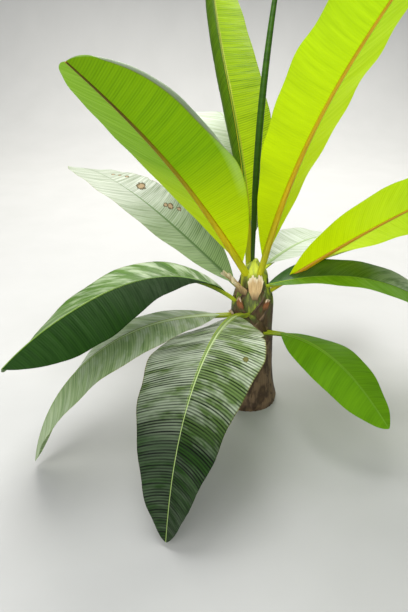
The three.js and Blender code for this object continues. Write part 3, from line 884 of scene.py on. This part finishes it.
def blade_material(name, light, dark, through, share, rough=0.36, veins=0.5, painted_pleat_shade=0.1, shine=0.5,
                   midrib=None, foot=None, foot_glow=None, fade=(0.05, 0.6), painted_sheen=None,
                   cover=(0.46, 0.62), rim=None, spots=(), dead=None):
    """A leaf blade: tones that run along its veins, painted shade between its pleats, a painted sky sheen and
    rim, a painted midrib, a dry edge and light from behind.
    """
    material, tree = new_material(f"blade_{name}")
    streaks = noise(tree, "pattern", (70, 5), 4.0)
    patches = noise(tree, "pattern", (6, 6), 2.0)
    fine = stripes(tree, uv_vector(tree, "pattern", VEIN_STRETCH), FINE_PERIOD, 0.4)
    side, along = uv_parts(tree, "place", (2, 1, 1), (-1, 0, 0))
    away = math_node(tree, "ABSOLUTE", side)
    tone = blend(tree, gray(tree, streaks, 0, 1, 0.3, 0.7), light, dark)
    tone = blend(tree, gray(tree, patches, 0, 0.35, 0.4, 0.7), tone, light)
    glow = blend(tree, gray(tree, streaks, 0, 0.25, 0.3, 0.7), through, dark)
    if foot is not None:
        near = gray(tree, along, 1, 0, *fade)
        tone = blend(tree, near, tone, foot)
        glow = blend(tree, near, glow, foot_glow or foot)
    if painted_sheen is not None:
        tone = paint_sky_reflection(tree, tone, along, painted_sheen, cover, fade)
    shade = vein_shade(tree, fine, veins, painted_pleat_shade, streaks)
    tone = blend(tree, shade, tone, dark, "MULTIPLY")
    glow = blend(tree, shade, glow, dark, "MULTIPLY")
    pale = tuple(min(1.0, channel * 1.4 + 0.02) for channel in light)
    tone = midrib_band(tree, tone, along, uv_parts(tree, "pattern")[1], *(midrib or (pale, pale)))
    # The rim tint is a painted sky reflection where the outer edge rolls over.
    if rim is not None:
        outer = gray(tree, along, 0, 1, 0.35, 0.6)
        tone = blend(tree, math_node(tree, "MULTIPLY", gray(tree, away, 0, 1, 0.78, 0.90), outer), tone, rim)
    tone = blend(tree, 1.0, tone, ramp(tree, away, DRY_EDGE), "MULTIPLY")
    roughness = gray(tree, streaks, rough - 0.06, rough + 0.10, 0.3, 0.7)
    if spots:
        reach = spot_distance(tree, spots)
        mask = gray(tree, reach, 1, 0, 0.95, 1.1)
        tone = blend(tree, mask, tone, ramp(tree, reach, list(zip(DEAD_STOPS, dead))))
        glow = blend(tree, mask, glow, DEAD_GLOW)
        roughness = math_node(tree, "ADD", roughness, math_node(tree, "MULTIPLY", mask, 0.5))
    normal = bump(tree, fine, 0.30 * veins, 0.0006)
    normal = bump(tree, streaks, 0.25, 0.0020, normal)
    finish_shader(tree, tone, normal, roughness, shine, glow, share)
    return material


def dry_material(name, light, dark, tip):
    """Dry fibres, brown where they come off the stem and paler at the torn tip."""
    material, tree = new_material(name)
    fibres = noise(tree, "pattern", (300, 12), 4.0, 0.6)
    patches = noise(tree, "pattern", (22, 9), 3.0)
    along = uv_parts(tree, "place")[1]
    tone = blend(tree, gray(tree, fibres, 0, 1, 0.32, 0.68), light, dark)
    tone = blend(tree, gray(tree, patches, 0, 0.45, 0.45, 0.7), tone, dark)
    tone = blend(tree, gray(tree, along, 0.9, 0, 0.0, 0.35), tone, DRY_FOOT)
    tone = blend(tree, gray(tree, along, 0, 1, 0.75, 0.95), tone, tip)
    normal = bump(tree, fibres, 0.6, 0.0020)
    finish_shader(tree, tone, normal, gray(tree, patches, 0.67, 0.85), 0.4)
    return material


def rib_material(name, foot, middle, tip, edge, edge_turn):
    """A stalk or midrib, waxy, with one side tinted like its edge and a little light through it."""
    material, tree = new_material(name)
    fibres = noise(tree, "pattern", (160, 6), 4.0, 0.6)
    patches = noise(tree, "pattern", (20, 5), 3.0)
    around, along = uv_parts(tree, "place", (2 * math.pi, 1, 1))
    tone = ramp(tree, along, [(0.04, foot), (0.20, middle), (0.80, tip)])
    turn = math_node(tree, "SUBTRACT", around, 2 * math.pi * edge_turn)
    uneven = gray(tree, patches, -0.5, 0.5, 0.3, 0.7)
    beside = math_node(tree, "ADD", math_node(tree, "COSINE", turn), uneven)
    near = gray(tree, along, 0, 1, 0.03, 0.12)
    tone = blend(tree, math_node(tree, "MULTIPLY", gray(tree, beside, 0, 0.9, -0.1, 0.7), near), tone, edge)
    tone = blend(tree, gray(tree, fibres, 0.35, 0, 0.32, 0.68), tone, RIB_FIBRE, "MULTIPLY")
    normal = bump(tree, fibres, 0.2, 0.0006)
    finish_shader(tree, tone, normal, 0.40, 0.5, tone, 0.4)
    return material


def stem_material():
    """Green sheaths that dry to brown with age and along their rims."""
    material, tree = new_material("stem_sheaths")
    fibres = noise(tree, "pattern", (420, 10), 5.0, 0.62)
    patches = noise(tree, "pattern", (30, 12), 3.0)
    age = math_node(tree, "ADD", uv_parts(tree, "place")[0], gray(tree, patches, -0.30, 0.30, 0.3, 0.7))
    tone = ramp(tree, age, STEM_TONES)
    tone = blend(tree, gray(tree, fibres, 0.55, 0.0, 0.3, 0.7), tone, STEM_FIBRE)
    normal = bump(tree, fibres, 0.5, 0.0016)
    normal = bump(tree, patches, 0.3, 0.0030, normal)
    finish_shader(tree, tone, normal, gray(tree, patches, 0.5, 0.75), 0.35)
    return material


def make_looks():
    looks = {name: blade_material(name, **values) for name, values in BLADE_LOOKS.items()}
    for name, values in RIBS.items():
        looks[name] = rib_material(name, *values)
    for name, values in DRY_LOOKS.items():
        looks[name] = dry_material(*values)
    looks["stem"] = stem_material()
    return looks


# Stage

def make_camera():
    data = bpy.data.cameras.new("camera")
    data.lens = CAMERA["lens"]
    data.sensor_width = CAMERA["sensor"]
    camera = bpy.data.objects.new("camera", data)
    camera.location = CAMERA["place"]
    camera.rotation_euler = (math.radians(90 - CAMERA["pitch"]), 0, 0)
    bpy.context.scene.collection.objects.link(camera)
    bpy.context.scene.camera = camera


def add_panel(name, place, target, size, power, color=(1, 1, 1)):
    """A soft rectangular light that faces its target."""
    data = bpy.data.lights.new(name, "AREA")
    data.shape = "RECTANGLE"
    data.size, data.size_y = size
    data.energy = power
    data.color = color
    light = bpy.data.objects.new(name, data)
    light.location = place
    aim = np.subtract(target, place)
    heading = math.atan2(aim[1], aim[0])
    drop = math.atan2(-aim[2], math.hypot(aim[0], aim[1]))
    light.rotation_euler = (math.pi / 2 - drop, 0, heading - math.pi / 2)
    bpy.context.scene.collection.objects.link(light)


def floor_profile():
    """The floor from front to back, its bend and its wall, as places along and up."""
    start, radius = FLOOR["bend_at"], FLOOR["bend_radius"]
    bend = np.linspace(0, math.pi / 2, 16)[1:]
    profile = [(y, 0.0) for y in np.linspace(FLOOR["front"], start, 24)]
    profile += [(start + radius * math.sin(a), radius - radius * math.cos(a)) for a in bend]
    profile += [(start + radius, z) for z in np.linspace(*FLOOR["wall"], 6)]
    return profile


def make_floor():
    """A plain pale floor that curves up behind."""
    across = np.linspace(-FLOOR["half_width"], FLOOR["half_width"], 13)
    grid = np.array([[(x, y, z) for x in across] for y, z in floor_profile()])
    shell = Shell("floor")
    flat = pairs(grid[..., 0], grid[..., 1])
    shell.add_grid(grid, flat, flat, 0)
    material, tree = new_material("floor_paper")
    grain = noise(tree, "place", (1, 1), scale=3.0)
    tone = blend(tree, gray(tree, grain, 0, 1), FLOOR["tone"], FLOOR["grain"])
    finish_shader(tree, tone, bump(tree, grain, 0.02, 0.01), 0.9, 0.1)
    floor = shell.build([material])


def make_lights():
    """Plain soft light, most of it from above and behind."""
    world = bpy.data.worlds.new("soft_sky")
    world.use_nodes = True
    sky = world.node_tree.nodes["Background"]
    sky.inputs["Color"].default_value = (*SKY_TONE, 1)
    sky.inputs["Strength"].default_value = SKY_STRENGTH
    bpy.context.scene.world = world
    for name, values in PANELS.items():
        add_panel(name, **values)
    bpy.context.scene.view_settings.view_transform = "Standard"


def main():
    looks = make_looks()
    for seed, (name, sizes) in enumerate(LEAVES.items()):
        make_leaf(name, sizes, seed + LEAF_SEED, looks)
    make_new_leaf(looks)
    make_stem(looks)
    for seed, (name, sizes) in enumerate(SHEATHS.items()):
        make_sheath(name, sizes, seed + SHEATH_SEED, looks)
    make_camera()
    make_floor()
    make_lights()


main()
